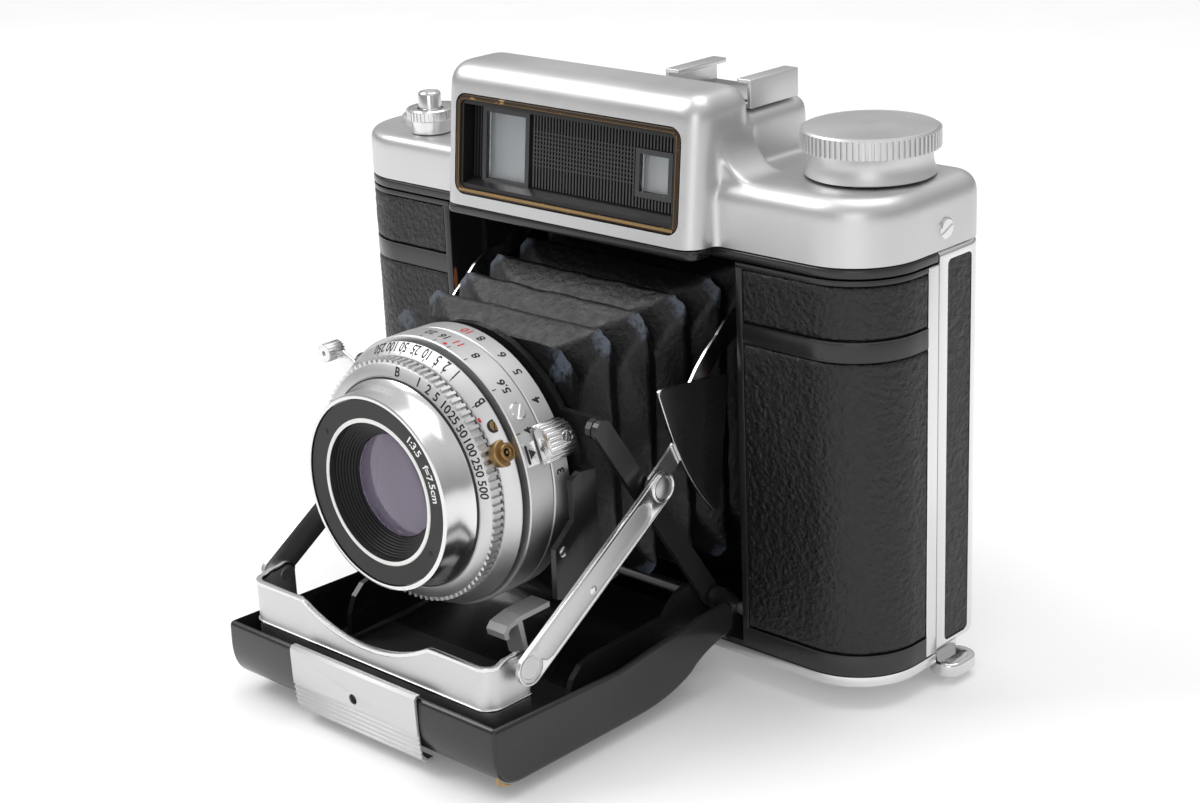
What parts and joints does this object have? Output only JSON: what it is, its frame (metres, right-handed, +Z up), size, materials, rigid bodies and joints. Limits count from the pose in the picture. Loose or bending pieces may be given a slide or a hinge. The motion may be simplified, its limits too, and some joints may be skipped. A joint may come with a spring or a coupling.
{
  "type": "folding camera",
  "caption": "Self-erecting folding roll-film camera, opened: rangefinder top housing, bellows, bright lens and shutter on a standard, struts and a drop-down bed.",
  "frame": {"origin": "centre of the bottom plate's underside, under the lens axis", "axes": "+Z up, -Y the way the lens looks, +X to the advance knob's end"},
  "size_m": [0.1369, 0.098, 0.1098],
  "materials": {
    "satin_metal": "satin",
    "bright_metal": "polished",
    "black_paint": "semi-gloss enamel",
    "leather": "fine pebbled grain",
    "bellows_cloth": "dull, scuffed folds",
    "brass": "aged",
    "clear_glass": "clear",
    "coated_glass": "lightly coated",
    "steel": "brushed",
    "spool_plastic": "moulded"
  },
  "bodies": {
    "camera_body": {"body_casting": "black_paint", "bottom_plate": "bright_metal", "tripod_bush": "bright_metal", "top_trim": "black_paint", "top_cover": "satin_metal", "cover_screw": "bright_metal", "eyepiece": "black_paint", "accessory_shoe": "satin_metal", "leather_upper_left": "leather", "leather_upper_right": "leather", "leather_lower_left": "leather", "leather_lower_right": "leather", "side_trim_left": "bright_metal", "side_trim_right": "bright_metal", "window_frame": "brass", "window_mask": "black_paint", "viewfinder_glass": "clear_glass", "rangefinder_glass": "clear_glass", "back_hinge_pin": "steel", "bed_hinge_pin": "steel", "bellows": "bellows_cloth"},
    "back": {"back_door": "bright_metal", "back_leather": "leather", "door_leather_left": "leather", "door_leather_right": "leather"},
    "latch": {"back_latch": "bright_metal"},
    "film_pressure": {"pressure_plate": "black_paint"},
    "advance": {"advance_knob": "bright_metal"},
    "takeup": {"takeup_spool": "spool_plastic"},
    "supply": {"supply_spool": "spool_plastic"},
    "lower_knob": {"bottom_knob": "bright_metal"},
    "collar": {"release_collar": "bright_metal"},
    "release": {"release_button": "bright_metal"},
    "counter": {"counter_dial": "satin_metal"},
    "bed": {"bed_door": "black_paint", "latch_plate": "satin_metal", "front_bracket": "bright_metal", "bed_rail_left": "black_paint", "bed_rail_right": "black_paint"},
    "struts": {"strut_left": "satin_metal", "strut_right": "satin_metal"},
    "links": {"upper_link_left": "bright_metal", "upper_link_right": "bright_metal", "fan_plate_left": "black_paint", "fan_plate_right": "black_paint"},
    "arms": {"erecting_arm_left": "black_paint", "erecting_arm_right": "black_paint"},
    "standard": {"front_standard": "black_paint", "standard_foot": "bright_metal"},
    "lens_unit": {"shutter_housing": "satin_metal", "lens_barrel": "bright_metal", "name_ring": "black_paint", "front_element": "coated_glass", "rear_element": "coated_glass", "sync_post": "brass"},
    "focus": {"focus_ring": "satin_metal", "focus_knob": "bright_metal"},
    "aperture": {"aperture_ring": "satin_metal"},
    "speed": {"speed_ring": "satin_metal"},
    "lever": {"cocking_lever": "bright_metal"}
  },
  "joints": [
    {"name": "back_open", "type": "hinge", "parent": "camera_body", "child": "back", "pos_m": [-0.0671, 0.0025, 0.04], "axis": [0, 0, 1], "range_deg": [0, 110]},
    {"name": "latch_pull", "type": "slide", "parent": "back", "child": "latch", "axis": [0, 0, -1], "range_m": [0, 0.0012]},
    {"name": "pressure_spring", "type": "slide", "parent": "back", "child": "film_pressure", "axis": [0, 1, 0], "range_m": [0, 0.001]},
    {"name": "advance_turn", "type": "hinge", "parent": "camera_body", "child": "advance", "pos_m": [0.0516, 0.002, 0.09], "axis": [0, 0, 1], "continuous": true},
    {"name": "takeup_turn", "type": "hinge", "parent": "camera_body", "child": "takeup", "pos_m": [0.0516, 0.002, 0.04], "axis": [0, 0, 1], "continuous": true},
    {"name": "supply_turn", "type": "hinge", "parent": "camera_body", "child": "supply", "pos_m": [-0.0516, 0.002, 0.04], "axis": [0, 0, 1], "continuous": true},
    {"name": "bottom_knob_pull", "type": "slide", "parent": "camera_body", "child": "lower_knob", "axis": [0, 0, -1], "range_m": [0, 0.006]},
    {"name": "collar_turn", "type": "hinge", "parent": "camera_body", "child": "collar", "pos_m": [-0.048, -0.0095, 0.089], "axis": [0, 0, 1], "range_deg": [0, 90]},
    {"name": "release_press", "type": "slide", "parent": "camera_body", "child": "release", "axis": [0, 0, -1], "range_m": [0, 0.002]},
    {"name": "counter_turn", "type": "hinge", "parent": "camera_body", "child": "counter", "pos_m": [-0.0555, -0.001, 0.088], "axis": [0, 0, 1], "continuous": true},
    {"name": "bed_fold", "type": "hinge", "parent": "camera_body", "child": "bed", "pos_m": [0, -0.0135, 0.0074], "axis": [-1, 0, 0], "range_deg": [0, 90], "deforming": ["bellows"]},
    {"name": "strut_swing", "type": "hinge", "parent": "bed", "child": "struts", "pos_m": [0, -0.0696, 0.0168], "axis": [-1, 0, 0], "range_deg": [0, 41.22]},
    {"name": "link_swing", "type": "hinge", "parent": "camera_body", "child": "links", "pos_m": [0, 0.002, 0.07], "axis": [-1, 0, 0], "range_deg": [-34.83, 0]},
    {"name": "arm_swing", "type": "hinge", "parent": "camera_body", "child": "arms", "pos_m": [0, -0.0192, 0.0115], "axis": [-1, 0, 0], "range_deg": [0, 67.14]},
    {"name": "standard_level", "type": "hinge", "parent": "arms", "child": "standard", "pos_m": [0, -0.0465, 0.052], "axis": [-1, 0, 0], "range_deg": [-67.14, 0]},
    {"name": "lens_travel", "type": "slide", "parent": "standard", "child": "lens_unit", "axis": [0, 1, 0], "range_m": [0, 0.002]},
    {"name": "focus_turn", "type": "hinge", "parent": "lens_unit", "child": "focus", "pos_m": [0, -0.051, 0.0412], "axis": [0, -1, 0], "range_deg": [0, 130]},
    {"name": "aperture_turn", "type": "hinge", "parent": "lens_unit", "child": "aperture", "pos_m": [0, -0.056, 0.0412], "axis": [0, -1, 0], "range_deg": [-45, 45]},
    {"name": "speed_turn", "type": "hinge", "parent": "lens_unit", "child": "speed", "pos_m": [0, -0.064, 0.0412], "axis": [0, -1, 0], "range_deg": [-60, 60]},
    {"name": "cocking_turn", "type": "hinge", "parent": "lens_unit", "child": "lever", "pos_m": [0, -0.06, 0.0412], "axis": [0, 1, 0], "range_deg": [0, 25]}
  ],
  "couplings": [
    {"joint": "strut_swing", "follows": "bed_fold", "ratio": 0.458},
    {"joint": "link_swing", "follows": "bed_fold", "ratio": -0.387},
    {"joint": "arm_swing", "follows": "bed_fold", "ratio": 0.746},
    {"joint": "standard_level", "follows": "bed_fold", "ratio": -0.746},
    {"joint": "lens_travel", "follows": "focus_turn", "m_per_rad": 0.00088},
    {"joint": "takeup_turn", "follows": "advance_turn", "ratio": 1}
  ]
}
